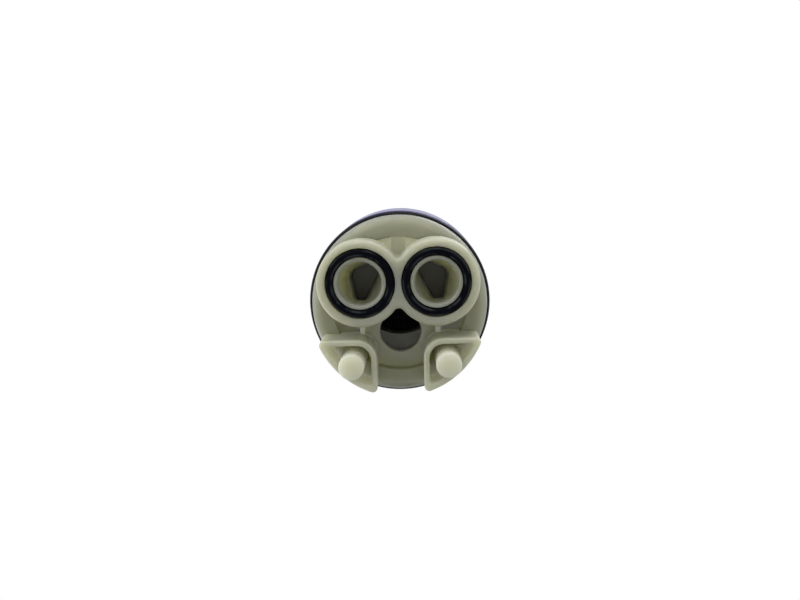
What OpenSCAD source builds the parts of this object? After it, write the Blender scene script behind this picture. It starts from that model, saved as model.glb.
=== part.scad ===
// Single-lever ceramic-disc faucet cartridge, 35 mm class.
// +Z runs up along the stem. The origin is on the turning axis, in the plane
// where the port boss and the feet seat in the faucet body.
// The ports lie towards -Y and the locating pegs towards +Y.

/* [Base] */
// Radius of the base flange at its rim
flange_r = 17.5; // [17.2:0.05:17.7]
// Height of the flange's rim edge above the seat plane
rim_z = 10.5; // [10:0.1:11]
// Height of the flat lower face of the flange
face_z = 8.2; // [7.6:0.1:8.6]
// Radius of the cored recess in the flange
recess_r = 13.2; // [12.8:0.1:13.6]
// Height of the recess floor
recess_z = 10.8; // [10.6:0.1:11]
// Height of the base floor that carries the seals
floor_z = 13.2; // [13.1:0.1:13.4]
// Radius of the pocket that holds the ceramic discs
disc_pocket_r = 14.4; // [14.3:0.05:14.5]
// Height of the rim of the disc pocket
pocket_rim_z = 18.6; // [18.2:0.1:18.7]

/* [Ports] */
// Distance of each inlet from the middle plane
port_x = 7.2; // [7.1:0.05:7.3]
// Distance of the inlets from the axis, towards -Y
port_y = -5.0; // [-5.2:0.05:-4.9]
// Radius of each inlet bore
port_r = 4.12; // [4:0.02:4.2]
// Depth of the round mouth of an inlet
port_depth = 3; // [2.5:0.25:4]
// Radius of each lobe of the figure-eight boss
lobe_r = 8.1; // [7.9:0.05:8.2]
// Radius of the fillets in the waist of the boss
waist_r = 1.55; // [1.3:0.05:1.6]
// Radius of the outlet bore
outlet_r = 4.1; // [4:0.02:4.12]
// Distance of the outlet from the axis, towards +Y
outlet_y = 5.92; // [5.9:0.01:6.1]

/* [Feet and pegs] */
// Outer radius of the feet about the axis
foot_r = 16.7; // [16.5:0.05:16.8]
// Distance of a foot's inner side from the middle plane
foot_x = 4.4; // [4.2:0.05:4.5]
// Distance of a foot's upper side from the axis
foot_y = 5.7; // [5.6:0.05:5.8]
// Thickness of a foot's wall
foot_wall = 1.1; // [0.9:0.05:1.2]
// Radius of a foot's large inner corner
foot_corner_r = 3.8; // [3.4:0.1:4]
// Radius of the free end of a locating peg
peg_r = 2.4; // [2.2:0.02:2.44]
// Length of a peg past the seat plane
peg_length = 3; // [2.5:0.1:3.4]
// Place of a peg across the part
peg_x = 9.05; // [9:0.02:9.1]
// Place of a peg towards +Y
peg_y = 10; // [9.9:0.02:10.1]

/* [Seals] */
// Radius of the section of an inlet O-ring
inlet_seal_r = 0.88; // [0.85:0.01:0.92]
// Radius of the section of the body O-ring
body_seal_r = 0.95; // [0.9:0.01:1]
// Outer radius of the body O-ring
body_seal_outer_r = 17.95; // [17.9:0.01:18]

/* [Discs] */
// Radius of the fixed ceramic disc
fixed_disc_r = 14.25; // [14.1:0.05:14.3]
// Thickness of the fixed disc
fixed_disc_t = 3.4; // [3.2:0.1:3.4]
// Radius of the sliding ceramic disc
slide_disc_r = 12.4; // [12.3:0.05:12.5]
// Thickness of the sliding disc
slide_disc_t = 3.17; // [3.1:0.01:3.18]

/* [Lever] */
// Tilt of the stem at rest, in degrees
rest_tilt = 12.5; // [12:0.1:12.5]
// Height of the lever's pivot pin
pin_z = 32; // [32:0.1:32.2]
// Distance from the pin to the centre of the ball
arm = 8; // [8:0.05:8.1]
// Radius of the pivot pin
pin_r = 1.5; // [1.4:0.05:1.6]
// Width of the square stem
stem_w = 7.8; // [7.6:0.05:7.9]
// Length of the stem above the pin
stem_length = 22.5; // [18:0.5:26]

/* [Housing] */
// Outer radius of the housing
housing_r = 17.8; // [17.75:0.01:17.85]
// Height of the housing's shoulder
shoulder_z = 28.6; // [28.4:0.1:28.8]
// Outer radius of the housing's neck
neck_r = 12.6; // [12.5:0.05:12.65]
// Height of the top of the neck
neck_z = 35.5; // [35.3:0.05:35.5]

/* [Hidden] */
$fn = 64;
eps = 0.01;

// Flange and groove of the base
rim_round = [1.8, rim_z - face_z];
groove_z = [10.6, 12.7];
groove_floor_r = 16;
land_r = 17.3;
land_z = 13.9;
spigot_r = 16.1;
deep_pocket_z = 12.2;
rib_w = 1;
web_w = 2.75;
peg_draft = 0.25;
boss_edge = 0.9;
ramp = [[7, 7.5], [13.2, 8.55]];
ramp_half_angle = 38;

// Lips and grooves round the inlets
lip_r = 4.84;
seal_groove_r = 6.66;
seal_groove_depth = 1.7;
mouth_step = 0.08;

// Corner circles of the flow openings, each as x, y, radius
inlet_corners = [[5.4, -6.2, 1.5], [7.6, -4.8, 1.65], [7.3, -0.8, 0.8]];
chamber_corners = [[-5.1, -0.5, 1.8], [5.1, -0.5, 1.8], [2.6, 3.2, 2.6], [-2.6, 3.2, 2.6]];

// Outlet opening of the fixed disc: a circle cut off by a shallow arc, each as
// centre y and radius
outlet_round = [outlet_y, 4.5];
outlet_shallow = [-2.2, 9.04];

// Seals under the fixed disc
seal_gap = 0.6;
seal_w = 1.5;
seal_depth = 1.1;

// Stack of discs and carrier
fixed_z = floor_z + 0.4;
slide_z = fixed_z + fixed_disc_t + 0.03;
slide_top_z = slide_z + slide_disc_t;
chamber_step_z = slide_z + 1.55;
chamber_step = 0.5;
carrier_z = slide_top_z + 0.05;
carrier_top_z = 23.2;
carrier_guide = [11, 9.2, 25.6];
socket_floor_z = 21.2;
socket_r = 2.75;
carrier_seal_r = 0.75;
carrier_seal_path_r = 8.2;
tab_angles = [0, 180, 270];
tab = [1.3, 4, 1.4];

// Rotor, its rings and the housing round it
rotor_z = 24.1;
rotor_flange_z = 26.2;
rotor_flange_r = 15.7;
rotor_neck_r = 10.75;
rotor_top_z = 38;
rotor_channel = [11.4, 13.6, 25.9];
rotor_slot = [8.2, 11];
housing_bore_r = 16.25;
neck_bore_r = 10.9;
roof_z = 27;
window = [6.8, 2.4];
lug = [1.4, 6, 1.6];
lug_z = 16.8;
lug_angles = [45, 135, 225, 315];

// Ring that limits the turn, with its lug and the rotor's notch
ring_z = 33.5;
ring_cap_z = 35.6;
ring_top_z = 37.2;
ring_r = 14.4;
ring_teeth = 40;
spline_teeth = 24;
spline_r = [12.55, 12.2];
spline_gap = 0.05;
ring_lug_r = 9.4;
ring_lug_half_angle = 8.5;
notch_r = 9.2;
notch_half_angle = 61;

// Ball, cap and shank of the lever
ball_r = 2.6;
shank_r = 1.9;
shank_pin_r = 1.5;
hub_r = 4.4;
slide_rest_y = arm * sin(rest_tilt);

// Points along an arc about a centre
function arc(centre, r, from, to, steps = 8) =
  [for (i = [0:steps])
    let (a = from + (to - from) * i / steps)
    centre + r * [cos(a), sin(a)]];

// Direction of the outer tangent point between two corner circles
function tangent_angle(p, q) =
  atan2(q[1] - p[1], q[0] - p[0])
  - acos((p[2] - q[2]) / norm([q[0] - p[0], q[1] - p[1]]));

// Outline of a convex shape given by its corner circles, grown by g
function rounded(corners, g = 0, steps = 10) =
  let (n = len(corners))
  [for (i = [0:n - 1])
    let (
      p = corners[(i + n - 1) % n],
      q = corners[i],
      start = tangent_angle(p, q),
      turn = (tangent_angle(q, corners[(i + 1) % n]) - start + 720) % 360
    )
    each arc([q[0], q[1]], q[2] + g, start, start + turn, steps)];

// Outline of the foot on the +X side, moved inwards by w
function foot_outline(w, corner_r) =
  let (
    r = foot_r - w,
    left = foot_x + w,
    top = foot_y + w,
    reach = r - corner_r,
    side = [sqrt(reach * reach - pow(top + corner_r, 2)), top + corner_r],
    low = [left + corner_r, sqrt(reach * reach - pow(left + corner_r, 2))],
    side_a = atan2(side[1], side[0]),
    low_a = atan2(low[1], low[0]),
    big_r = foot_corner_r - w,
    big = [foot_x + foot_corner_r, foot_y + foot_corner_r]
  )
  concat(
    arc(side, corner_r, -90, side_a, 5),
    arc([0, 0], r, side_a, low_a, 10),
    arc(low, corner_r, low_a, 180, 5),
    arc(big, big_r, 180, 270, 10)
  );

// Insets and heights of a rounded edge, from the end face to the side
function round_over(r) =
  [for (a = [0:22.5:90]) r * [1 - sin(a), 1 - cos(a)]];

// Outline of the fixed disc's outlet opening
function outlet_outline() =
  let (
    far = outlet_round[0] - outlet_shallow[0],
    y = (far * far + pow(outlet_shallow[1], 2) - pow(outlet_round[1], 2)) / 2 / far,
    x = sqrt(pow(outlet_shallow[1], 2) - y * y),
    wide = atan2(y, x),
    low = atan2(y - far, x)
  )
  concat(
    arc([0, outlet_shallow[0]], outlet_shallow[1], wide, 180 - wide, 12),
    arc([0, outlet_round[0]], outlet_round[1], 180 - low, 360 + low, 24)
  );

// Outline with trapezoid teeth between two radii
function spline(outer, inner, teeth) =
  [for (i = [0:teeth - 1], step = [0.1, 0.4, 0.6, 0.9])
    let (a = (i + step) * 360 / teeth, r = step < 0.5 ? outer : inner)
    r * [cos(a), sin(a)]];

// A ring with a round section
module o_ring(path_r, section_r) {
  rotate_extrude() translate([path_r, 0]) circle(section_r);
}

// A flat ring between two radii
module washer(inner_r, outer_r, height) {
  difference() {
    cylinder(r = outer_r, h = height);
    translate([0, 0, -1]) cylinder(r = inner_r, h = height + 2);
  }
}

// A disc sector, for notches and lugs about +Y
module sector(r, half_angle, height) {
  linear_extrude(height)
    polygon(concat([[0, 0]], arc([0, 0], r, 90 - half_angle, 90 + half_angle, 12)));
}

// Turned shell of the base: flange, land and disc pocket
module base_shell() {
  rotate_extrude() polygon(concat(
    [[0, recess_z], [recess_r, recess_z], [recess_r, face_z]],
    [for (a = [0:15:90])
      [flange_r - rim_round[0] * (1 - sin(a)), rim_z - rim_round[1] * cos(a)]],
    [
      [flange_r, groove_z[0] + 1], [land_r, groove_z[0] + 1],
      [land_r, land_z], [spigot_r, land_z],
      [spigot_r, pocket_rim_z], [disc_pocket_r, pocket_rim_z],
      [disc_pocket_r, floor_z], [0, floor_z]
    ]
  ));
}

// Thin wall of a foot with its peg, on the +X side
module foot() {
  difference() {
    linear_extrude(recess_z + 0.5) polygon(foot_outline(0, 0.9));
    translate([0, 0, -1])
      linear_extrude(recess_z + 1) polygon(foot_outline(foot_wall, 0.4));
  }
  translate([peg_x, peg_y, 0]) {
    cylinder(r1 = peg_r, r2 = peg_r + peg_draft, h = recess_z + 0.5);
    translate([0, 0, -peg_length + 0.4]) cylinder(r = peg_r, h = peg_length - 0.4);
    translate([0, 0, -peg_length]) cylinder(r1 = peg_r - 0.35, r2 = peg_r, h = 0.4);
  }
}

// Inlet passage: a round mouth that flows into the opening under the disc
module inlet_passage() {
  translate([port_x, port_y, -1]) cylinder(r = port_r, h = port_depth + 1);
  translate([port_x, port_y, -eps]) cylinder(r1 = port_r + 0.25, r2 = port_r, h = 0.25);
  hull() {
    translate([port_x, port_y, port_depth - 0.4])
      cylinder(r = port_r - mouth_step, h = 0.4, $fn = 40);
    translate([0, 0, floor_z]) linear_extrude(1) polygon(rounded(inlet_corners));
  }
}

// Figure-eight boss with a rounded edge: two turned lobes, and between them a
// waist whose hollow sides follow circles that touch both lobes
module boss() {
  top_z = recess_z + 0.5;
  rise = sqrt(pow(lobe_r + waist_r, 2) - port_x * port_x);
  turn = atan2(rise, port_x);
  // Just inside the corners of the waist's outline, which would split the mesh
  hollow_r = waist_r - 0.02;
  for (side = [-1, 1]) translate([side * port_x, port_y, 0])
    rotate_extrude($fn = 96) polygon(concat(
      [[0, top_z], [0, 0]],
      [for (p = round_over(boss_edge)) [lobe_r - p[0], p[1]]],
      [[lobe_r, top_z]]
    ));
  difference() {
    translate([0, port_y, 0]) linear_extrude(top_z) polygon(concat(
      [[port_x, port_x * tan(30)]],
      arc([0, rise], waist_r, -turn - 4, turn - 176, 8),
      [[-port_x, port_x * tan(30)], [-port_x, -port_x * tan(30)]],
      arc([0, -rise], waist_r, 176 - turn, turn + 4, 8),
      [[port_x, -port_x * tan(30)]]
    ));
    for (side = [-1, 1]) translate([0, port_y + side * rise, 0])
      rotate_extrude() polygon(concat(
        [[0, boss_edge], [0, -1], [hollow_r + boss_edge, -1]],
        [for (p = round_over(boss_edge)) [hollow_r + p[0], p[1]]]
      ));
  }
}

module base() {
  color([0.72, 0.73, 0.63])
  difference() {
    union() {
      difference() {
        base_shell();
        for (side = [0, 1]) mirror([side, 0, 0]) {
          // Deep core pocket between lobe, rib and foot
          intersection() {
            cylinder(r = recess_r - 0.15, h = deep_pocket_z);
            translate([port_x + 0.2 + rib_w / 2, 0, face_z])
              cube([recess_r, foot_y + 0.1, deep_pocket_z]);
          }
        }
      }
      boss();
      // Web between the flange and the boss, with a ramp at each side of it
      translate([-web_w / 2, -recess_r - 0.3, face_z])
        cube([web_w, recess_r + 0.3 + port_y, recess_z - face_z + 0.5]);
      intersection() {
        rotate([0, 0, 180]) sector(recess_r + 1, ramp_half_angle, recess_z + 0.5);
        rotate_extrude() polygon([
          [ramp[0][0], recess_z + 0.5], [recess_r + 0.4, recess_z + 0.5],
          [recess_r + 0.4, ramp[1][1]], ramp[1], ramp[0]
        ]);
      }
      for (side = [0, 1]) mirror([side, 0, 0]) {
        foot();
        // Thin rib between the lobe and the foot
        translate([port_x + 0.2 - rib_w / 2, 0, face_z])
          cube([rib_w, foot_y + 0.5, deep_pocket_z - face_z + 0.5]);
      }
      // Snap lugs that hold the housing
      for (a = lug_angles) rotate([0, 0, a])
        translate([spigot_r - 0.4, -lug[1] / 2, lug_z]) cube(lug);
      // Keys for the fixed disc
      for (a = [90, 210, 330]) rotate([0, 0, a])
        translate([disc_pocket_r - 0.9, -1, floor_z - 0.5]) cube([1.4, 2, 4.2]);
    }
    for (side = [0, 1]) mirror([side, 0, 0]) {
      inlet_passage();
      translate([port_x, port_y, -eps]) washer(lip_r, seal_groove_r, seal_groove_depth + eps);
      seal_groove(inlet_corners);
    }
    // Groove of the large O-ring
    translate([0, 0, groove_z[0]])
      washer(groove_floor_r, flange_r + 1, groove_z[1] - groove_z[0]);
    translate([0, outlet_y, 0]) cylinder(r = outlet_r, h = floor_z + 1);
    translate([0, outlet_y, floor_z - seal_depth])
      washer(outlet_r + seal_gap, outlet_r + seal_gap + seal_w, seal_depth + 1);
  }
}

// Groove in the base floor round an opening
module seal_groove(corners) {
  translate([0, 0, floor_z - seal_depth]) linear_extrude(seal_depth + 1) difference() {
    polygon(rounded(corners, seal_gap + seal_w));
    polygon(rounded(corners, seal_gap));
  }
}

module inlet_seal(side) {
  color([0.06, 0.06, 0.08]) translate([side * port_x, port_y, inlet_seal_r - 0.12])
    o_ring((lip_r + seal_groove_r) / 2, inlet_seal_r);
}

module inlet_seal_left() { inlet_seal(-1); }

module inlet_seal_right() { inlet_seal(1); }

module body_o_ring() {
  color([0.07, 0.07, 0.09])
    translate([0, 0, (groove_z[0] + groove_z[1]) / 2])
    o_ring(body_seal_outer_r - body_seal_r, body_seal_r);
}

// Moulded seal round an inlet opening, under the fixed disc
module disc_seal(side) {
  color([0.12, 0.12, 0.13])
    mirror([side < 0 ? 1 : 0, 0, 0])
    translate([0, 0, floor_z - seal_depth])
    linear_extrude(fixed_z - floor_z + seal_depth) difference() {
      polygon(rounded(inlet_corners, seal_gap + seal_w - 0.05));
      polygon(rounded(inlet_corners, seal_gap + 0.05));
    }
}

module disc_seal_left() { disc_seal(-1); }

module disc_seal_right() { disc_seal(1); }

module outlet_seal() {
  color([0.12, 0.12, 0.13])
    translate([0, outlet_y, floor_z - seal_depth])
    washer(
      outlet_r + seal_gap + 0.05, outlet_r + seal_gap + seal_w - 0.05,
      fixed_z - floor_z + seal_depth
    );
}

module fixed_disc() {
  color([0.88, 0.87, 0.83]) translate([0, 0, fixed_z]) difference() {
    cylinder(r = fixed_disc_r, h = fixed_disc_t);
    translate([0, 0, -1]) linear_extrude(fixed_disc_t + 2) {
      polygon(rounded(inlet_corners));
      mirror([1, 0]) polygon(rounded(inlet_corners));
      polygon(outlet_outline());
    }
    for (a = [90, 210, 330]) rotate([0, 0, a])
      translate([disc_pocket_r - 1.05, -1.15, -1]) cube([3, 2.3, fixed_disc_t + 2]);
  }
}

// Sliding disc with the stepped mixing chamber, centred on its own axis
module moving_disc_shape() {
  difference() {
    translate([0, 0, slide_z]) cylinder(r = slide_disc_r, h = slide_disc_t);
    translate([0, 0, slide_z - 1])
      linear_extrude(slide_disc_t + 2) polygon(rounded(chamber_corners));
    translate([0, 0, chamber_step_z])
      linear_extrude(slide_disc_t) polygon(rounded(chamber_corners, chamber_step));
    for (a = tab_angles) rotate([0, 0, a])
      translate([slide_disc_r - tab[0] - 0.1, -tab[1] / 2 - 0.1, slide_z - 1])
        cube([tab[0] + 2, tab[1] + 0.2, slide_disc_t + 2]);
  }
}

module moving_disc() {
  color([0.93, 0.92, 0.88]) translate([0, slide_rest_y, 0]) moving_disc_shape();
}

// Perforated insert on the step of the mixing chamber
module flow_silencer() {
  color([0.15, 0.15, 0.17]) translate([0, slide_rest_y, chamber_step_z])
    linear_extrude(0.9) difference() {
      polygon(rounded(chamber_corners, chamber_step - 0.1));
      for (x = [-3:1.5:3], y = [0.2:1.5:4.7])
        if (norm([x, y - 1.9]) < 3.9) translate([x, y]) circle(0.5);
    }
}

module carrier_seal() {
  color([0.12, 0.12, 0.13])
    translate([0, slide_rest_y, slide_top_z + carrier_seal_r])
    o_ring(carrier_seal_path_r, carrier_seal_r);
}

module disc_carrier() {
  color([0.15, 0.15, 0.17]) translate([0, slide_rest_y, 0]) difference() {
    union() {
      translate([0, 0, carrier_z])
        cylinder(r = slide_disc_r, h = carrier_top_z - carrier_z);
      translate([-carrier_guide[0] / 2, -carrier_guide[1] / 2, carrier_top_z - 1])
        cube([carrier_guide[0], carrier_guide[1], carrier_guide[2] - carrier_top_z + 1]);
      for (a = tab_angles) rotate([0, 0, a]) intersection() {
        cylinder(r = slide_disc_r, h = carrier_top_z);
        translate([slide_disc_r - tab[0], -tab[1] / 2, carrier_z - tab[2]])
          cube([tab[0] + 1, tab[1], tab[2] + 1]);
      }
    }
    translate([0, 0, socket_floor_z]) cylinder(r = socket_r, h = 10);
    translate([0, 0, carrier_z - 1]) washer(
      carrier_seal_path_r - carrier_seal_r - 0.05,
      carrier_seal_path_r + carrier_seal_r + 0.05,
      1 + 2 * carrier_seal_r + 0.02
    );
  }
}

module slip_ring() {
  color([0.9, 0.9, 0.92])
    translate([0, 0, carrier_top_z + 0.1]) washer(8.9, 13.6, rotor_z - carrier_top_z - 0.1);
}

module rotor() {
  color([0.82, 0.82, 0.8]) difference() {
    union() {
      translate([0, 0, rotor_z])
        cylinder(r = rotor_flange_r, h = rotor_flange_z - rotor_z);
      translate([0, 0, rotor_z]) cylinder(r = rotor_neck_r, h = rotor_top_z - rotor_z);
    }
    // Channel that guides the carrier
    translate([-rotor_channel[0] / 2, -rotor_channel[1] / 2, rotor_z - 1])
      cube([rotor_channel[0], rotor_channel[1], rotor_channel[2] - rotor_z + 1]);
    // Slot in which the lever tilts
    translate([-rotor_slot[0] / 2, -rotor_slot[1] / 2, rotor_z])
      cube([rotor_slot[0], rotor_slot[1], rotor_top_z]);
    // Bore of the pivot pin
    translate([-rotor_neck_r - 1, 0, pin_z]) rotate([0, 90, 0])
      cylinder(r = pin_r + 0.01, h = 2 * rotor_neck_r + 2);
    // Notch in which the lug of the limit ring stands
    translate([0, 0, neck_z - 0.1]) difference() {
      sector(20, notch_half_angle, 10);
      translate([0, 0, -1]) cylinder(r = notch_r, h = 12);
    }
  }
}

module bearing_washer() {
  color([0.15, 0.15, 0.16])
    translate([0, 0, rotor_flange_z + 0.05]) washer(11, 15.5, roof_z - rotor_flange_z - 0.1);
}

module pivot_pin() {
  color([0.75, 0.75, 0.77]) translate([-9.8, 0, pin_z]) rotate([0, 90, 0])
    cylinder(r = pin_r, h = 19.6);
}

// Lever in its own frame, with the pin at the origin
module lever_shape() {
  difference() {
    union() {
      translate([-stem_w / 2, -stem_w / 2, 0])
        cube([stem_w, stem_w, stem_length - 0.8]);
      translate([0, 0, stem_length - 0.8]) stem_tip();
      translate([-stem_w / 2, 0, 0]) rotate([0, 90, 0]) cylinder(r = hub_r, h = stem_w);
      translate([0, 0, -arm + ball_r - 0.3]) cylinder(r = shank_r, h = arm - ball_r);
      translate([0, 0, -arm - 1]) cylinder(r = shank_pin_r, h = arm);
    }
    translate([-stem_w, 0, 0]) rotate([0, 90, 0]) cylinder(r = pin_r + 0.05, h = 2 * stem_w);
    translate([0, 0, stem_length - 10]) cylinder(r = 1.65, h = 12);
  }
}

// Bevelled end of the square stem
module stem_tip() {
  intersection() {
    translate([-stem_w / 2, -stem_w / 2, 0]) cube([stem_w, stem_w, 0.8]);
    rotate([0, 90, 0]) linear_extrude(stem_w, center = true)
      polygon([[0, -stem_w / 2], [0, stem_w / 2], [-0.8, stem_w / 2 - 0.8], [-0.8, 0.8 - stem_w / 2]]);
    rotate([0, 90, 90]) linear_extrude(stem_w, center = true)
      polygon([[0, -stem_w / 2], [0, stem_w / 2], [-0.8, stem_w / 2 - 0.8], [-0.8, 0.8 - stem_w / 2]]);
  }
}

module lever_stem() {
  color([0.62, 0.62, 0.63]) translate([0, 0, pin_z]) rotate([rest_tilt, 0, 0]) lever_shape();
}

// Plastic cap that makes the ball on the lever's lower end
module ball_cap() {
  color([0.9, 0.89, 0.84]) translate([0, 0, pin_z]) rotate([rest_tilt, 0, 0])
    translate([0, 0, -arm]) difference() {
      sphere(ball_r);
      translate([0, 0, -1.02]) cylinder(r = shank_pin_r + 0.01, h = 5);
      translate([-5, -5, ball_r - 0.32]) cube([10, 10, 5]);
    }
}

module housing() {
  color([0.36, 0.32, 0.62]) {
    housing_shell();
    // Spline on which the limit ring is set in steps
    translate([0, 0, ring_z - 0.1]) difference() {
      linear_extrude(neck_z - ring_z + 0.1)
        polygon(spline(spline_r[0], spline_r[1], spline_teeth));
      translate([0, 0, -1]) cylinder(r = neck_bore_r, h = 5);
    }
  }
}

module housing_shell() {
  difference() {
    rotate_extrude() polygon(concat(
      [[housing_bore_r, land_z], [housing_r - 0.3, land_z], [housing_r, land_z + 0.3]],
      arc([housing_r - 1.2, shoulder_z - 1.2], 1.2, 0, 90, 6),
      [
        [neck_r, shoulder_z], [neck_r, ring_z], [neck_bore_r, ring_z],
        [neck_bore_r, roof_z], [housing_bore_r, roof_z]
      ]
    ));
    for (a = lug_angles) rotate([0, 0, a])
      translate([housing_bore_r - 1, -window[0] / 2, lug_z - 0.4])
        cube([4, window[0], window[1]]);
  }
}

// Toothed ring on the neck, with the lug that limits the turn
module limit_ring() {
  color([0.75, 0.2, 0.16]) {
    difference() {
      translate([0, 0, ring_z]) linear_extrude(ring_top_z - ring_z)
        polygon([for (i = [0:2 * ring_teeth - 1])
          let (a = i * 180 / ring_teeth, r = ring_r - (i % 2) * 0.6)
          r * [cos(a), sin(a)]]);
      linear_extrude(ring_cap_z)
        polygon(spline(spline_r[0] + spline_gap, spline_r[1] + spline_gap, spline_teeth));
      translate([0, 0, ring_z - 1]) cylinder(r = rotor_neck_r + 0.3, h = 10);
    }
    intersection() {
      translate([0, 0, ring_cap_z]) sector(20, ring_lug_half_angle, ring_top_z - ring_cap_z);
      translate([0, 0, ring_cap_z]) washer(ring_lug_r, neck_r + 0.4, ring_top_z - ring_cap_z);
    }
  }
}

base();
inlet_seal_left();
inlet_seal_right();
body_o_ring();
disc_seal_left();
disc_seal_right();
outlet_seal();
fixed_disc();
moving_disc();
flow_silencer();
carrier_seal();
disc_carrier();
slip_ring();
rotor();
bearing_washer();
pivot_pin();
lever_stem();
ball_cap();
housing();
limit_ring();
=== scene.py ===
"""Ceramic-disc faucet cartridge, seen from its base."""
import math

import bmesh
import bpy
from mathutils import Matrix, Vector


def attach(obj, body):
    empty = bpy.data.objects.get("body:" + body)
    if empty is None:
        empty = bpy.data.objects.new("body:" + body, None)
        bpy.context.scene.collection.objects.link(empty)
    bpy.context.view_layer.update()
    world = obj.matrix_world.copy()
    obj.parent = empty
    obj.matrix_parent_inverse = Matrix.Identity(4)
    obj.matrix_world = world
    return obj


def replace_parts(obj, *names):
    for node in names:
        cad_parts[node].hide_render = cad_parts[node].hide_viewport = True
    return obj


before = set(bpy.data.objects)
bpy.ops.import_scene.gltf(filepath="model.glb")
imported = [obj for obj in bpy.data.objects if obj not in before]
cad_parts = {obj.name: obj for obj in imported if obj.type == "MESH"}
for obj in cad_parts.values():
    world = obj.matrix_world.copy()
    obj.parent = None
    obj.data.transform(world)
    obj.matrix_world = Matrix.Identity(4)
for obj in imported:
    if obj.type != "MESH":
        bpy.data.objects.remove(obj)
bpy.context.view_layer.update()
scene = bpy.context.scene

# Camera
# The photograph looks at the ports from below, a little from their side, so
# the upper shell shows past the top of the flange. Places are in metres.


def placed(name, data):
    """New object that holds the data, linked into the scene."""
    ob = bpy.data.objects.new(name, data)
    scene.collection.objects.link(ob)
    return ob


camera_data = bpy.data.cameras.new("camera")
camera_data.lens = 42.3
camera_data.sensor_width = 36
camera_data.shift_x = -0.0006
camera_data.shift_y = 0.0005
camera_data.clip_start = 0.01
camera_data.clip_end = 20
camera = placed("camera", camera_data)
camera.location = (0.003456, -0.02512, -0.17369)
camera.rotation_euler = [math.radians(a) for a in (172.3056, -0.8064, 1.6013)]
scene.camera = camera

# Base
# One ivory moulding: a turned flange with a cored recess, the figure-eight
# boss round the inlets, two thin-walled feet with their locating pegs, and
# above the flange the O-ring groove, the snap lugs and the disc pocket.
FLANGE_R = 17.27
RIM_Z = 10.5
RIM_WIDTH = 1.8
FACE_Z = 8.2
RECESS_R = 13.2
RECESS_Z = 10.8
GROOVE_FLOOR_R = 16.0
GROOVE_Z = (10.6, 12.7)
LAND_R = 17.2
LAND_Z = 13.9
SPIGOT_R = 16.1
DISC_POCKET_R = 14.4
DISC_POCKET_RIM_Z = 18.6
FLOOR_Z = 13.2
MOULD_EDGE = 0.3

# Sizes are in millimetres until a piece is done. Cutters reach OVERCUT past
# what they cut, and what is joined on sinks in by SINK.
OVERCUT = 1
SINK = 0.5


def arc(centre, radius, start, end, steps=8):
    """Points along an arc, with its angles in degrees."""
    angles = [math.radians(start + (end - start) * i / steps) for i in range(steps + 1)]
    return [(centre[0] + radius * math.cos(a), centre[1] + radius * math.sin(a)) for a in angles]


def softened(corners, steps=4):
    """Closed outline with each corner (x, y, radius) rounded."""
    points = []
    for i, (x, y, radius) in enumerate(corners):
        here = Vector((x, y))
        if not radius:
            points.append((x, y))
            continue
        back = (Vector(corners[i - 1][:2]) - here).normalized()
        ahead = (Vector(corners[(i + 1) % len(corners)][:2]) - here).normalized()
        half = back.angle(ahead) / 2
        middle = here + (back + ahead).normalized() * radius / math.sin(half)
        start = here + back * radius / math.tan(half) - middle
        end = here + ahead * radius / math.tan(half) - middle
        turn = start.angle_signed(end)
        for k in range(steps + 1):
            spoke = start.copy()
            spoke.rotate(Matrix.Rotation(-turn * k / steps, 2))
            points.append(tuple(middle + spoke))
    return points


def outward(bm):
    """The same body with its faces turned outwards."""
    bmesh.ops.recalc_face_normals(bm, faces=bm.faces)
    return bm


def lathe(profile, steps=144, centre=(0, 0)):
    """Body turned from points (radius, height). One that starts and ends on the axis is left open there."""
    bm = bmesh.new()
    verts = [bm.verts.new((r, 0, z)) for r, z in profile]
    edges = [bm.edges.new(pair) for pair in zip(verts, verts[1:])]
    if profile[0][0] or profile[-1][0]:
        edges.append(bm.edges.new((verts[-1], verts[0])))
    bmesh.ops.spin(bm, geom=verts + edges, cent=(0, 0, 0), axis=(0, 0, 1),
                   angle=2 * math.pi, steps=steps, use_merge=True)
    bmesh.ops.remove_doubles(bm, verts=bm.verts, dist=1e-5)
    bmesh.ops.translate(bm, vec=(*centre, 0), verts=bm.verts)
    return outward(bm)


# The shell is turned. Its flange steps in to the land inside the ring's groove, which is cut later
step_z = GROOVE_Z[0] + OVERCUT
base = lathe(softened([
    (0, RECESS_Z, 0), (RECESS_R, RECESS_Z, MOULD_EDGE), (RECESS_R, FACE_Z, MOULD_EDGE),
    *[(FLANGE_R - RIM_WIDTH * (1 - math.sin(a)), RIM_Z - (RIM_Z - FACE_Z) * math.cos(a), 0)
      for a in [math.pi / 2 * i / 12 for i in range(13)]],
    (FLANGE_R, step_z, 0), (LAND_R, step_z, 0), (LAND_R, LAND_Z, 0.1), (SPIGOT_R, LAND_Z, 0),
    (SPIGOT_R, DISC_POCKET_RIM_Z, MOULD_EDGE), (DISC_POCKET_R, DISC_POCKET_RIM_Z, MOULD_EDGE),
    (DISC_POCKET_R, FLOOR_Z, 0), (0, FLOOR_Z, 0),
]))

# Side pockets, cored between the recess's wall and the ribs
RIB_X = 7.4
RIB_WIDTH = 1.0
SIDE_POCKET_R = RECESS_R - 0.15
SIDE_POCKET_Z = 11.6
SIDE_POCKET_CORNER_X = 11.87
FOOT_Y = 5.7


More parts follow.
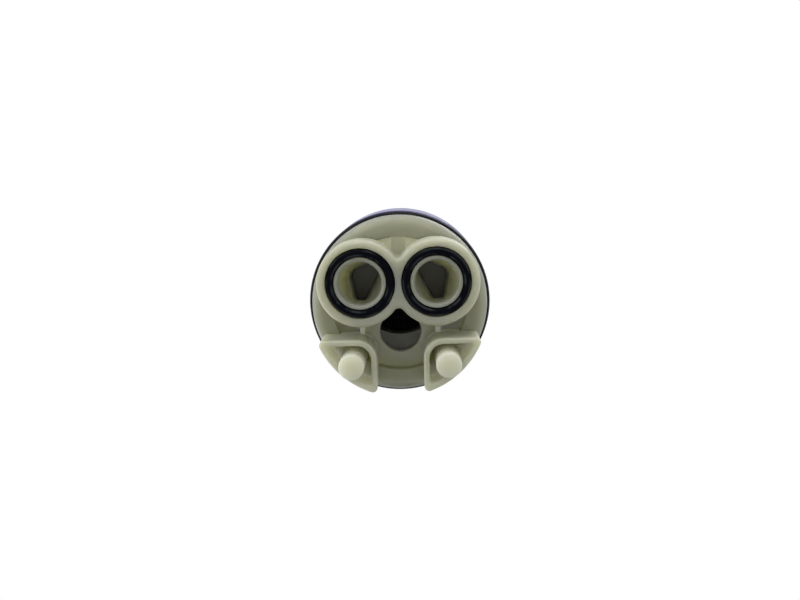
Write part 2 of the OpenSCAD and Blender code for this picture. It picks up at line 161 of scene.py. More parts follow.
def loft(layers, ring=False):
    """Body through closed outlines, each given with its height. A ring joins the last to the first."""
    bm = bmesh.new()
    loops = []
    for outline, z in layers:
        verts = [bm.verts.new((x, y, z)) for x, y in outline]
        loops.append([bm.edges.new((verts[i - 1], verts[i])) for i in range(len(verts))])
    for low, high in zip(loops, loops[1:] + loops[:1] if ring else loops[1:]):
        bmesh.ops.bridge_loops(bm, edges=low + high)
    if not ring:
        bmesh.ops.contextual_create(bm, geom=loops[0])
        bmesh.ops.contextual_create(bm, geom=loops[-1])
    return outward(bm)


def slab(outline, low, high):
    """Upright body with one outline from end to end."""
    return loft([(outline, low), (outline, high)])


def as_mesh(bm, name="work"):
    """The body as a mesh. The bmesh is used up."""
    mesh = bpy.data.meshes.new(name)
    bm.to_mesh(mesh)
    bm.free()
    return mesh


def together(*bodies):
    """Bodies that don't touch, as one."""
    whole = bmesh.new()
    for bm in bodies:
        mesh = as_mesh(bm)
        whole.from_mesh(mesh)
        bpy.data.meshes.remove(mesh)
    return whole


def both_sides(bm):
    """A body and its mirror image across the middle plane."""
    twin = bm.copy()
    bmesh.ops.scale(twin, vec=(-1, 1, 1), verts=twin.verts)
    bmesh.ops.reverse_faces(twin, faces=twin.faces)
    return together(bm, twin)


def boolean(bm, other, operation):
    """Result of a boolean between two bodies, both used up."""
    objects = [placed("work", as_mesh(body)) for body in (bm, other)]
    modifier = objects[0].modifiers.new("boolean", "BOOLEAN")
    modifier.operation = operation
    modifier.solver = "EXACT"
    modifier.object = objects[1]
    result = bmesh.new()
    result.from_object(objects[0], bpy.context.evaluated_depsgraph_get())
    for ob in objects:
        mesh = ob.data
        bpy.data.objects.remove(ob)
        bpy.data.meshes.remove(mesh)
    return result


def cut(bm, *tools):
    """A body less some others, which don't touch each other."""
    return boolean(bm, together(*tools), "DIFFERENCE")


def fused(bm, *others):
    """A body joined with some others, which don't touch each other."""
    return boolean(bm, together(*others), "UNION")


rib_side = RIB_X + RIB_WIDTH / 2
side_pocket = softened([
    (rib_side, 0, 0.2), (SIDE_POCKET_R, 0, 0.05),
    *[(x, y, 0) for x, y in arc((0, 0), SIDE_POCKET_R, 2, 24, 12)],
    (SIDE_POCKET_CORNER_X, FOOT_Y + 0.1, 0.1), (rib_side, FOOT_Y + 0.1, 0.2),
])
base = cut(base, both_sides(slab(side_pocket, FACE_Z, SIDE_POCKET_Z)))

# Figure-eight boss round the two inlets, its end face rounded over into its side
PORT_X = 7.2
PORT_Y = -5.0
LOBE_R = 8.2
LOBE_Y = -4.88
WAIST_R = 1.05
BOSS_EDGE = 0.95


def round_over(radius, steps=5):
    """Insets and heights of a rounded edge, from the end face to the side."""
    return [(radius * (1 - math.sin(a)), radius * (1 - math.cos(a)))
            for a in [math.pi / 2 * i / steps for i in range(steps + 1)]]


def boss_outline(inset):
    """Figure-eight outline: two lobes, joined by a waist that curves inwards on both sides."""
    rise = math.sqrt((LOBE_R + WAIST_R) ** 2 - PORT_X ** 2)
    turn = math.degrees(math.atan2(rise, PORT_X))
    lobe, waist = LOBE_R - inset, WAIST_R + inset
    return (
        arc((PORT_X, LOBE_Y), lobe, turn - 180, 180 - turn, 72)[:-1]
        + arc((0, LOBE_Y + rise), waist, -turn, turn - 180, 12)[:-1]
        + arc((-PORT_X, LOBE_Y), lobe, turn, 360 - turn, 72)[:-1]
        + arc((0, LOBE_Y - rise), waist, 180 - turn, turn, 12)[:-1]
    )


boss = [(boss_outline(r), z) for r, z in round_over(BOSS_EDGE, 6)]
base = fused(base, loft(boss + [(boss_outline(0), RECESS_Z + SINK)]))

# Two thin-walled feet, hollow round their pegs
FOOT_R = 16.7
FOOT_X = 4.45
FOOT_WALL = 1.04
FOOT_CORNER_R = 3.8
FOOT_OUTER_TIP_R = 0.9
FOOT_INNER_TIP_R = 0.4
FOOT_EDGE = 0.35
FOOT_INNER_EDGE = 0.16


def foot_outline(inset, tip):
    """Outline of the foot on the +X side, its two tips of the given radius."""
    outer = FOOT_R - inset
    left, top = FOOT_X + inset, FOOT_Y + inset
    reach = outer - tip
    side = (math.sqrt(reach ** 2 - (top + tip) ** 2), top + tip)
    low = (left + tip, math.sqrt(reach ** 2 - (left + tip) ** 2))
    side_turn = math.degrees(math.atan2(side[1], side[0]))
    low_turn = math.degrees(math.atan2(low[1], low[0]))
    return (
        arc(side, tip, -90, side_turn, 8)
        + arc((0, 0), outer, side_turn, low_turn, 24)[1:-1]
        + arc(low, tip, low_turn, 180, 8)
        + arc((FOOT_X + FOOT_CORNER_R, FOOT_Y + FOOT_CORNER_R), FOOT_CORNER_R - inset, 180, 270, 16)
    )


foot = [(foot_outline(r, FOOT_OUTER_TIP_R - r), z) for r, z in round_over(FOOT_EDGE)]
foot.append((foot_outline(0, FOOT_OUTER_TIP_R), RECESS_Z + SINK))
hollow = [(foot_outline(FOOT_WALL - r, FOOT_INNER_TIP_R + r), z) for r, z in round_over(FOOT_INNER_EDGE)]
hollow.insert(0, (hollow[0][0], -OVERCUT))
hollow.append((foot_outline(FOOT_WALL, FOOT_INNER_TIP_R), RECESS_Z + OVERCUT))
base = fused(base, both_sides(cut(loft(foot), loft(hollow))))

# Locating pegs, with a little draft
PEG = (9.08, 10.2)
PEG_R = 2.4
PEG_END_Z = -3.3
PEG_EDGE = 0.28
PEG_DRAFT = 0.25
peg = lathe(softened([
    (0, PEG_END_Z, 0), (PEG_R, PEG_END_Z, PEG_EDGE), (PEG_R, 0, 0),
    (PEG_R + PEG_DRAFT, RECESS_Z + SINK, 0), (0, RECESS_Z + SINK, 0),
]), 72, PEG)
base = fused(base, both_sides(peg))

# Web between the boss and the recess's wall, ribs beside the outlet, and a ramp behind the boss,
# given by the radius and height of its inner and its outer edge
WEB_WIDTH = 2.75
RIB_EDGE = 0.15
RAMP = ((7.0, 7.5), (13.2, 8.55))
RAMP_HALF_ANGLE = 38


def block(low, high, edge=0.0, angle=0.0):
    """Box between two corners, with bevelled edges, turned about the axis."""
    bm = bmesh.new()
    bmesh.ops.create_cube(bm, size=1)
    size = [b - a for a, b in zip(low, high)]
    bmesh.ops.scale(bm, vec=size, verts=bm.verts)
    bmesh.ops.translate(bm, vec=[(a + b) / 2 for a, b in zip(low, high)], verts=bm.verts)
    if edge:
        bmesh.ops.bevel(bm, geom=bm.edges[:], offset=edge, segments=3, affect="EDGES",
                        profile=0.5, material=-1)
    bmesh.ops.rotate(bm, cent=(0, 0, 0), matrix=Matrix.Rotation(math.radians(angle), 3, "Z"),
                     verts=bm.verts)
    return bm


web = block((-WEB_WIDTH / 2, -RECESS_R - 0.3, FACE_Z), (WEB_WIDTH / 2, PORT_Y, RECESS_Z + SINK), RIB_EDGE)
rib = block((RIB_X - RIB_WIDTH / 2, 0, FACE_Z), (rib_side, FOOT_Y + SINK, SIDE_POCKET_Z + SINK), RIB_EDGE)
base = fused(base, web, both_sides(rib))
# The ramp is turned, and a wedge that is larger all round leaves only its share of the turn
ramp = lathe([
    *RAMP, (RECESS_R + 0.4, RAMP[1][1]), (RECESS_R + 0.4, RECESS_Z + SINK), (RAMP[0][0], RECESS_Z + SINK),
])
wedge = [(0, 0)] + arc((0, 0), 15, -90 - RAMP_HALF_ANGLE, -90 + RAMP_HALF_ANGLE, 12)
base = fused(base, boolean(ramp, slab(wedge, 7, 12), "INTERSECT"))

# Snap lugs round the spigot, and keys in the disc pocket that hold the fixed disc
LUG_ANGLES = (45, 135, 225, 315)
LUG_WIDTH = 6
LUG_Z = (16.8, 18.4)
KEY_ANGLES = (90, 210, 330)
KEY_WIDTH = 2
KEY_TOP_Z = 16.9


def blocks_round(angles, inner, outer, width, low, high, edge=0.0):
    """Like blocks about the axis, each from an inner to an outer radius."""
    return [block((inner, -width / 2, low), (outer, width / 2, high), edge, a) for a in angles]


lugs = blocks_round(LUG_ANGLES, SPIGOT_R - 0.4, SPIGOT_R + 1, LUG_WIDTH, *LUG_Z, 0.15)
keys = blocks_round(KEY_ANGLES, DISC_POCKET_R - 0.9, DISC_POCKET_R + SINK, KEY_WIDTH,
                    FLOOR_Z - SINK, KEY_TOP_Z, 0.1)
base = fused(base, *lugs, *keys)

# Groove for the large O-ring, between the flange and the land
ring_groove = softened([
    (GROOVE_FLOOR_R, GROOVE_Z[0], 0.15), (FLANGE_R + OVERCUT, GROOVE_Z[0], 0),
    (FLANGE_R + OVERCUT, GROOVE_Z[1], 0), (GROOVE_FLOOR_R, GROOVE_Z[1], 0.15),
])
base = cut(base, lathe(ring_groove))

# Inlets, and the groove round each for its O-ring. A fan-shaped opening under
# the disc is given by circles in its corners: x, y and radius
PORT_R = 4.12
PORT_FLARE = 0.3
PORT_DEPTH = 3.0
INLET_CORNERS = [(5.4, -6.2, 1.5), (7.75, -5.0, 1.75), (8.3, -0.65, 0.35), (7.03, -0.55, 0.35)]
LIP_R = 4.84
LIP_EDGE = 0.12
SEAL_GROOVE_R = 6.66
SEAL_GROOVE_EDGE = 0.15
SEAL_GROOVE_DEPTH = 1.7


def circle(radius, centre=(0, 0), count=96):
    """Points round a circle."""
    return arc(centre, radius, 0, 360, count)[:-1]


def facing(corners, grow=0.0, count=96, side=1):
    """Outline round corner circles (x, y, radius), one point for each direction it faces."""
    points = []
    for i in range(count):
        way = Vector((math.cos(2 * math.pi * i / count), math.sin(2 * math.pi * i / count)))
        x, y, radius = max(corners, key=lambda c: way.dot(c[:2]) + c[2])
        spot = Vector((x, y)) + way * (radius + grow)
        points.append((side * spot.x, spot.y))
    return points


def port_cutter(steps=10):
    """Round mouth of an inlet, which flows into the opening under the disc."""
    flared = circle(PORT_R + PORT_FLARE, (PORT_X, PORT_Y))
    straight = circle(PORT_R, (PORT_X, PORT_Y))
    mouth = [(flared, -OVERCUT), (flared, 0.03), (straight, PORT_FLARE + 0.1), (straight, PORT_DEPTH - 0.6)]
    start = circle(PORT_R - 0.04, (PORT_X, PORT_Y))
    end = facing(INLET_CORNERS)
    for i in range(steps + 1):
        share = i / steps
        outline = [tuple(Vector(a).lerp(Vector(b), share)) for a, b in zip(start, end)]
        mouth.append((outline, PORT_DEPTH + (FLOOR_Z - PORT_DEPTH) * share))
    mouth.append((end, FLOOR_Z + OVERCUT))
    return loft(mouth)


base = cut(base, both_sides(port_cutter()))
seal_groove = (
    [(LIP_R - LIP_EDGE, -OVERCUT), (LIP_R - LIP_EDGE, 0)]
    + [(LIP_R - r, z) for r, z in round_over(LIP_EDGE, 3)][1:]
    + [(LIP_R, SEAL_GROOVE_DEPTH), (SEAL_GROOVE_R, SEAL_GROOVE_DEPTH)]
    + [(SEAL_GROOVE_R + r, z) for r, z in reversed(round_over(SEAL_GROOVE_EDGE, 3))]
    + [(SEAL_GROOVE_R + SEAL_GROOVE_EDGE, -OVERCUT)]
)
base = cut(base, both_sides(lathe(seal_groove, 96, (PORT_X, PORT_Y))))

# Outlet, which a notch draws out to a narrow top between the lobes
OUTLET_R = 4.1
OUTLET_Y = 5.92
NOTCH_Y = 3.6
NOTCH_TIP_R = 2.3
mouth_r = OUTLET_R + MOULD_EDGE
outlet = (
    [(0, RECESS_Z - OVERCUT), (mouth_r, RECESS_Z - OVERCUT), (mouth_r, RECESS_Z)]
    + [(OUTLET_R + r, RECESS_Z + z) for r, z in round_over(MOULD_EDGE, 4)][1:]
    + [(OUTLET_R, FLOOR_Z + OVERCUT), (0, FLOOR_Z + OVERCUT)]
)
base = cut(base, lathe(outlet, 96, (0, OUTLET_Y)))
notch = circle(NOTCH_TIP_R, (0, NOTCH_Y), 48)
base = cut(base, slab(notch, RECESS_Z - OVERCUT, FLOOR_Z + OVERCUT))

# Grooves for the moulded seals under the fixed disc
SEAL_GAP = 0.6
SEAL_WIDTH = 1.5
SEAL_DEPTH = 1.1


def round_an_inlet(inner, outer, low, high, side):
    """Ring with a rectangular section that follows the opening of an inlet."""
    inside, outside = [facing(INLET_CORNERS, grow, side=side) for grow in (inner, outer)]
    return loft([(outside, low), (outside, high), (inside, high), (inside, low)], ring=True)


def band(inner, outer, low, high, low_edge=0.0, high_edge=0.0):
    """Section of a flat ring, its lower and upper edges rounded."""
    return softened([(inner, low, low_edge), (outer, low, low_edge),
                     (outer, high, high_edge), (inner, high, high_edge)])


groove_height = (FLOOR_Z - SEAL_DEPTH, FLOOR_Z + OVERCUT)
inlet_grooves = [round_an_inlet(SEAL_GAP, SEAL_GAP + SEAL_WIDTH, *groove_height, side) for side in (-1, 1)]
outlet_groove = band(OUTLET_R + SEAL_GAP, OUTLET_R + SEAL_GAP + SEAL_WIDTH, *groove_height)
base = cut(base, *inlet_grooves, lathe(outlet_groove, 96, (0, OUTLET_Y)))

# Ivory acetal. A pair of colours is mottled, from the first to the second
IVORY = ((0.435, 0.444, 0.326), (0.479, 0.487, 0.361))
# Painted light and shade: paler tones for the hollows and the recess floor, darker ones for the flange, its
# rim and the lips, and a paler one for the peg ends
PAINTED_LIGHT_IVORY = (0.92, 0.92, 0.71)
PAINTED_LIGHT_FLOOR_IVORY = (0.82, 0.83, 0.5)
FLANGE_SHADE_IVORY = ((0.36, 0.367, 0.275), (0.396, 0.403, 0.305))
RIM_SHADE_IVORY = (0.23, 0.235, 0.18)
LIP_SHADE_IVORY = (0.34, 0.35, 0.265)
PEG_LIGHT_IVORY = (0.66, 0.67, 0.51)


class Wire:
    """A value in a material's nodes. Arithmetic on it adds Math nodes."""

    def __init__(self, tree, socket=None):
        self.tree = tree
        self.socket = socket

    def add(self, kind, settings=None, inputs=None, output=0):
        """Adds a node, first its settings, then the values or links of its sockets."""
        node = self.tree.nodes.new(kind)
        for name, value in (settings or {}).items():
            setattr(node, name, value)
        for name, value in (inputs or {}).items():
            if isinstance(value, Wire):
                self.tree.links.new(value.socket, node.inputs[name])
            else:
                node.inputs[name].default_value = value
        return Wire(self.tree, node.outputs[output])

    def maths(self, operation, first, second=0):
        """Result of a Math node."""
        return self.add("ShaderNodeMath", {"operation": operation}, {0: first, 1: second})

    def __add__(self, other):
        return self.maths("ADD", self, other)

    __radd__ = __add__

    def __sub__(self, other):
        return self.maths("SUBTRACT", self, other)

    def __rsub__(self, other):
        return self.maths("SUBTRACT", other, self)

    def __mul__(self, other):
        return self.maths("MULTIPLY", self, other)

    __rmul__ = __mul__

    def __abs__(self):
        return self.maths("ABSOLUTE", self)

    def above(self, low, high):
        """0 below low, 1 above high, smooth between."""
        return self.add("ShaderNodeMapRange", {"interpolation_type": "SMOOTHSTEP"},
                        {"Value": self, "From Min": low, "From Max": high})

    def within(self, rise, fall):
        """1 between two soft edges, each a pair of values, and 0 outside them."""
        return self.above(*rise) * (1 - self.above(*fall))

    def beyond(self, near, far):
        """The same as above, for a squared distance."""
        return self.above(near ** 2, far ** 2)

    def blend(self, first, second):
        """Colour that goes from the first to the second as this value goes from 0 to 1."""
        first, second = [c if isinstance(c, Wire) else (*c, 1) for c in (first, second)]
        # Sockets 6 and 7 of a Mix node are its colours, and its output 2 is theirs
        return self.add("ShaderNodeMix", {"data_type": "RGBA"}, {"Factor": self, 6: first, 7: second}, 2)

    def parts(self):
        """X, Y and Z of a vector."""
        return [self.add("ShaderNodeSeparateXYZ", inputs={"Vector": self}, output=i) for i in range(3)]

    def place(self):
        """Place on the object, in millimetres along X, Y and Z."""
        return [part * 1000 for part in self.add("ShaderNodeTexCoord", output="Object").parts()]

    def noise(self, scale, detail=3.0, rough=0.5, stretch=(1, 1, 1)):
        """Noise whose features repeat scale times a millimetre."""
        place = self.add("ShaderNodeMapping", inputs={
            "Vector": self.add("ShaderNodeTexCoord", output="Object"),
            "Scale": [1000 * s for s in stretch]})
        return self.add("ShaderNodeTexNoise", inputs={
            "Vector": place, "Scale": scale, "Detail": detail, "Roughness": rough})

    def bump(self, strength, distance):
        """Surface direction that follows this value as a height."""
        return self.add("ShaderNodeBump", inputs={
            "Height": self, "Strength": strength, "Distance": distance})


def squared_distance(across, along):
    """Squared length of two sides."""
    return across * across + along * along


def finish_of(name, constants):
    """New material. Gives it, a wire to build with, and its shader."""
    material = bpy.data.materials.new(name)
    material.use_nodes = True
    shader = material.node_tree.nodes["Principled BSDF"]
    for socket, value in constants.items():
        shader.inputs[socket].default_value = value
    return material, Wire(material.node_tree), shader


def dress(shader, colour, roughness, surface):
    """Links what changes over a surface to its shader."""
    for name, value in (("Base Color", colour), ("Roughness", roughness), ("Normal", surface)):
        value.tree.links.new(value.socket, shader.inputs[name])


def inside_the_feet(wide, y, reach):
    """1 in the hollow of either foot. reach is the squared distance to the axis."""
    corner = squared_distance(wide.maths("MAXIMUM", FOOT_X + FOOT_CORNER_R - wide),
                              wide.maths("MAXIMUM", FOOT_Y + FOOT_CORNER_R - y))
    corner_r = FOOT_CORNER_R - FOOT_WALL
    side_r = FOOT_R - FOOT_WALL
    past_corner = corner.beyond(corner_r + 0.05, corner_r + 0.15)
    return (1 - past_corner) * (1 - reach.beyond(side_r + 0.1, side_r + 0.25))


def ivory_plastic():
    """Moulded acetal: faintly mottled where the melt met, satin, with soft flow marks."""
    material, wire, shader = finish_of("ivory plastic", {
        "IOR": 1.48, "Specular IOR Level": 0.2, "Subsurface Weight": 1.0,
        "Subsurface Radius": (1.0, 0.97, 0.75), "Subsurface Scale": 0.009,
    })
    cloud = wire.noise(0.18, 3, 0.55)
    flow = wire.noise(0.5, 4, 0.6, (1, 1, 0.3))
    grain = wire.noise(3.2, 3, 0.6)
    tone = (cloud * 0.65 + flow * 0.35).above(0.34, 0.68)
    x, y, z = wire.place()
    wide = abs(x)
    reach = squared_distance(x, y)
    port = squared_distance(wide - PORT_X, y - PORT_Y)
    hollow_feet = inside_the_feet(wide, y, reach)
    # Painted light: paler in the inlets and the feet, beside the web and in the recess, with a yellower tone
    # on the recess's floor
    inlet = (1 - port.beyond(LIP_R - 0.5, LIP_R - 0.2)) * z.above(1.5, 4.0) * 0.28
    foot_edge = reach.beyond(13, 14) * 0.28 + reach.beyond(15.2, 15.6) * 0.45
    foot = hollow_feet * z.above(0, 0.5) * (1 - foot_edge)
    web = wide.above(WEB_WIDTH / 2 - 0.1, WEB_WIDTH / 2) * 0.37 + 0.15
    beside_web = (1 - y.above(-6.5, -5.5)) * web * (1 - wide.above(6, 7)) * z.above(6.5, 7.0)
    deep = z.above(8.7, 11.0)
    recess = (deep + (1 - deep) * z.above(7.4, 8.2) * y.above(-3, -1)) * 0.95
    painted_light = 1 - (1 - recess) * (1 - inlet) * (1 - foot) * (1 - beside_web)
    floor = z.within((10.2, 10.7), (11.0, 11.5))
    colour = painted_light.blend(tone.blend(*IVORY), floor.blend(PAINTED_LIGHT_IVORY, PAINTED_LIGHT_FLOOR_IVORY))
    # Painted shade: darker on the flange, and darkest at the edge of its rim on the +Y side
    flange = reach.beyond(12.9, 13.15) * z.within((7.7, 8.2), (10.6, 10.9)) * (1 - hollow_feet)
    colour = flange.blend(colour, y.above(15.3, 16.8).blend(tone.blend(*FLANGE_SHADE_IVORY), RIM_SHADE_IVORY))
    # Painted shade: darker on the lips round the inlets
    lips = (1 - port.beyond(LIP_R - 0.1, LIP_R + 0.1)) * (1 - z.above(0.4, 1.8))
    colour = lips.blend(colour, LIP_SHADE_IVORY)
    # Painted light: paler on the ends of the pegs
    colour = (z * -1).above(0.3, 2.2).blend(colour, PEG_LIGHT_IVORY)
    dress(shader, colour, flow * 0.12 + grain * 0.06 + 0.33, (grain * 0.5 + flow).bump(0.25, 0.00002))
    return material


def in_order(bm):
    """Sorts corners, edges and faces by place, because booleans leave them in a new order each run."""
    for elements, place in (
        (bm.verts, lambda corner: corner.co[:]),
        (bm.edges, lambda edge: sorted(corner.co[:] for corner in edge.verts)),
        (bm.faces, lambda face: sorted(corner.co[:] for corner in face.verts)),
    ):
        for rank, element in enumerate(sorted(elements, key=place)):
            element.index = rank
        elements.sort()


def piece(name, bm, material, body, sharp=38, bevel=0.0):
    """Finished object in metres that rides on a body, with the slivers of its booleans merged."""
    in_order(bm)
    bmesh.ops.remove_doubles(bm, verts=bm.verts, dist=0.001)
    bmesh.ops.dissolve_degenerate(bm, edges=bm.edges, dist=0.001)
    bmesh.ops.scale(bm, vec=(0.001, 0.001, 0.001), verts=bm.verts)
    mesh = as_mesh(bm, name)
    mesh.polygons.foreach_set("use_smooth", [True] * len(mesh.polygons))
    mesh.set_sharp_from_angle(angle=math.radians(sharp))
    mesh.materials.append(material)
    ob = placed(name, mesh)
    if bevel:
        edge = ob.modifiers.new("soft edges", "BEVEL")
        edge.width = bevel / 1000
        edge.segments = 2
        edge.limit_method = "ANGLE"
        edge.angle_limit = math.radians(50)
    weighted = ob.modifiers.new("weighted normals", "WEIGHTED_NORMAL")
    weighted.keep_sharp = True
    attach(ob, body)
    return ob


ivory = ivory_plastic()
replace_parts(piece("base_moulding", base, ivory, "body"), "base")

# Seals in the base
# Nitrile rubber: an O-ring round each inlet and a large one under the land, each
# with the thin flash line of its mould and a film of grease, which leaves it shiny in
# patches, the inlet rings with two painted highlight lines, and under the fixed
# disc three moulded seals that lie loose in their grooves.
INLET_SEAL_R = 0.83
INLET_SEAL_Z = 0.76
BODY_SEAL_R = 0.92
BODY_SEAL_OUTER_R = 17.85
SEAL_PLAY = 0.05
SEAL_PROUD = 0.4
RUBBER = ((0.0012, 0.0014, 0.004), (0.003, 0.0034, 0.0065))
# Painted highlight for the lines on the inlet rings
RING_HIGHLIGHT = (0.036, 0.042, 0.045)


def o_ring(path_r, section_r, centre, z, steps=144, count=32):
    """Turned ring with a round section and a flash line at its inside and outside."""
    section = []
    for i in range(count):
        a = 2 * math.pi * i / count
        flash = 0.025 if i % (count // 2) == 0 else 0.0
        section.append((path_r + (section_r + flash) * math.cos(a), z + section_r * math.sin(a)))
    return lathe(section, steps, centre)


def black_rubber(name="black rubber", gloss=0.1):
    """Nitrile rubber with a little grease, which leaves it shiny in patches."""
    material, wire, shader = finish_of(name, {"IOR": 1.5, "Specular IOR Level": gloss})
    smear = wire.noise(0.6, 3, 0.6)
    speck = wire.noise(7, 2, 0.5)
    colour = smear.above(0.35, 0.7).blend(*RUBBER)
    dress(shader, colour, smear * 0.3 + speck * 0.08 + 0.2, speck.bump(0.2, 0.00001))
    return material, wire, shader, colour


def highlighted_rubber():
    """The same rubber on the inlet rings, with two painted highlight lines round each ring."""
    material, wire, shader, colour = black_rubber("rubber with painted highlights", 0.03)
    x, y, _ = wire.place()
    reach = squared_distance(abs(x) - PORT_X, y - PORT_Y)
    outer = reach.beyond(6.0, 6.25) * (1 - reach.beyond(6.4, 6.55))
    inner = reach.beyond(5.05, 5.25) * (1 - reach.beyond(5.4, 5.6))
    outer_highlight = outer * wire.noise(0.22, 2, 0.5).above(0.4, 0.6)
    inner_highlight = inner * wire.noise(0.3, 2, 0.5).above(0.45, 0.62)
    colour = (outer_highlight + inner_highlight).blend(colour, RING_HIGHLIGHT)
    wire.tree.links.new(colour.socket, shader.inputs["Base Color"])
    return material


rubber = black_rubber()[0]
inlet_rubber = highlighted_rubber()
groove_middle_r = (LIP_R + SEAL_GROOVE_R) / 2
for name, x in (("inlet_seal_left", -PORT_X), ("inlet_seal_right", PORT_X)):
    seal = o_ring(groove_middle_r, INLET_SEAL_R, (x, PORT_Y), INLET_SEAL_Z)
    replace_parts(piece(name + "_ring", seal, inlet_rubber, "body"), name)
body_ring = o_ring(BODY_SEAL_OUTER_R - BODY_SEAL_R, BODY_SEAL_R, (0, 0), sum(GROOVE_Z) / 2, 192)
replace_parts(piece("body_seal_ring", body_ring, rubber, "body"), "body_o_ring")
seal_inner = SEAL_GAP + SEAL_PLAY
seal_outer = SEAL_GAP + SEAL_WIDTH - SEAL_PLAY
seal_height = (FLOOR_Z - SEAL_DEPTH, FLOOR_Z + SEAL_PROUD)
for name, side in (("disc_seal_left", -1), ("disc_seal_right", 1)):
    seal = round_an_inlet(seal_inner, seal_outer, *seal_height, side)
    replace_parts(piece(name + "_moulding", seal, rubber, "body"), name)
seal = lathe(band(OUTLET_R + seal_inner, OUTLET_R + seal_outer, *seal_height, 0.1, 0.3), 96, (0, OUTLET_Y))
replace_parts(piece("outlet_seal_moulding", seal, rubber, "body"), "outlet_seal")

# Fixed disc
# A disc of lapped alumina, keyed in the base over its seals, with an opening
# for each inlet and one for the mixed water.
FIXED_Z = 13.3
FIXED_T = 3.7
FIXED_R = 14.25
KEYWAY_WIDTH = 2.3
OUTLET_ROUND_R = 4.5
SHALLOW_Y = -2.2
SHALLOW_R = 9.04
# Painted shade darkens the alumina, and painted light makes it paler before the inlets
ALUMINA = ((0.12, 0.12, 0.1), (0.15, 0.15, 0.125))
INLET_LIGHT_ALUMINA = (0.22, 0.215, 0.165)


def lapped_ceramic():
    """Fired alumina: fine-grained, dark grey from painted shade."""
    material, wire, shader = finish_of("lapped ceramic", {"IOR": 1.7, "Specular IOR Level": 0.15})
    colour = wire.noise(0.35, 4, 0.6).above(0.3, 0.7).blend(*ALUMINA)
    # Painted light: paler and browner before the inlets
    colour = (1 - wire.place()[1].above(-0.5, 1.5)).blend(colour, INLET_LIGHT_ALUMINA)
    grain = wire.noise(9, 2, 0.6)
    dress(shader, colour, grain * 0.15 + 0.22, grain.bump(0.12, 0.000008))
    return material


def puck(radius, low, high, low_edge=0.0, high_edge=0.0, steps=144):
    """Round solid bar or disc on the axis, its lower and upper edges rounded."""
    half_section = [(0, low, 0), (radius, low, low_edge), (radius, high, high_edge), (0, high, 0)]
    return lathe(softened(half_section), steps)


def outlet_opening():
    """Outline of the outlet opening: a circle cut off by a shallow arc."""
    far = OUTLET_Y - SHALLOW_Y
    y = (far ** 2 + SHALLOW_R ** 2 - OUTLET_ROUND_R ** 2) / 2 / far
    x = math.sqrt(SHALLOW_R ** 2 - y ** 2)
    wide = math.degrees(math.atan2(y, x))
    low = math.degrees(math.atan2(y - far, x))
    return (arc((0, SHALLOW_Y), SHALLOW_R, wide, 180 - wide, 24)[:-1]
            + arc((0, OUTLET_Y), OUTLET_ROUND_R, 180 - low, 360 + low, 48)[:-1])


ceramic = lapped_ceramic()
through = (FIXED_Z - OVERCUT, FIXED_Z + FIXED_T + OVERCUT)
openings = [facing(INLET_CORNERS), facing(INLET_CORNERS, side=-1), outlet_opening()]
keyways = blocks_round(KEY_ANGLES, FIXED_R - 0.9, FIXED_R + 2.25, KEYWAY_WIDTH, *through)
fixed = puck(FIXED_R, FIXED_Z, FIXED_Z + FIXED_T, 0.2, 0.1)
fixed = cut(fixed, *[slab(outline, *through) for outline in openings], *keyways)
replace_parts(piece("fixed_ceramic_disc", fixed, ceramic, "body"), "fixed_disc")

# Sliding disc and flow silencer
# The second alumina disc lies on the fixed one and bridges its openings with
# the stepped mixing chamber. A black perforated insert in it breaks the flow.
CHAMBER_CORNERS = [(-5.1, -0.5, 1.8), (5.1, -0.5, 1.8), (2.6, 3.2, 2.6), (-2.6, 3.2, 2.6)]
CHAMBER_STEP_Z = 18.58
CHAMBER_STEP = 0.5
SLIDE_Z = 17.03
SLIDE_T = 3.17
SLIDE_R = 12.4
SLIDE_Y = 8 * math.sin(math.radians(12.5))
TAB_ANGLES = (0, 180, 270)
TAB_WIDTH = 4
SILENCER_T = 0.9
SILENCER_HOLE_R = 0.5
SILENCER_PITCH = 1.5
BLACK_PLASTIC = ((0.004, 0.004, 0.006), (0.007, 0.007, 0.009))


def moved(bm, x=0.0, y=0.0, z=0.0):
    """The same body, moved."""
    bmesh.ops.translate(bm, vec=(x, y, z), verts=bm.verts)
    return bm


def moulded(name, colours, gloss=0.3, rough=0.3, streaks=(1, 1, 0.25)):
    """Moulded plastic, faintly streaked the way its melt flowed, with a fine skin texture."""
    material, wire, shader = finish_of(name, {"IOR": 1.5, "Specular IOR Level": gloss})
    flow = wire.noise(0.5, 4, 0.6, streaks)
    skin = wire.noise(5, 2, 0.6)
    dress(shader, flow.above(0.32, 0.68).blend(*colours), flow * 0.16 + skin * 0.08 + (rough - 0.12),
          (skin * 0.4 + flow).bump(0.2, 0.00002))
    return material


sliding = moved(puck(SLIDE_R, SLIDE_Z, SLIDE_Z + SLIDE_T, 0.15, 0.15), y=SLIDE_Y)
through = (SLIDE_Z - OVERCUT, SLIDE_Z + SLIDE_T + OVERCUT)
lower, upper = facing(CHAMBER_CORNERS), facing(CHAMBER_CORNERS, CHAMBER_STEP)
chamber = loft([(lower, through[0]), (lower, CHAMBER_STEP_Z), (upper, CHAMBER_STEP_Z), (upper, through[1])])
notches = blocks_round(TAB_ANGLES, SLIDE_R - 1.4, SLIDE_R + 2, TAB_WIDTH + 0.2, *through)
sliding = cut(sliding, moved(together(chamber, *notches), y=SLIDE_Y))
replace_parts(piece("sliding_ceramic_disc", sliding, ceramic, "disc"), "moving_disc")

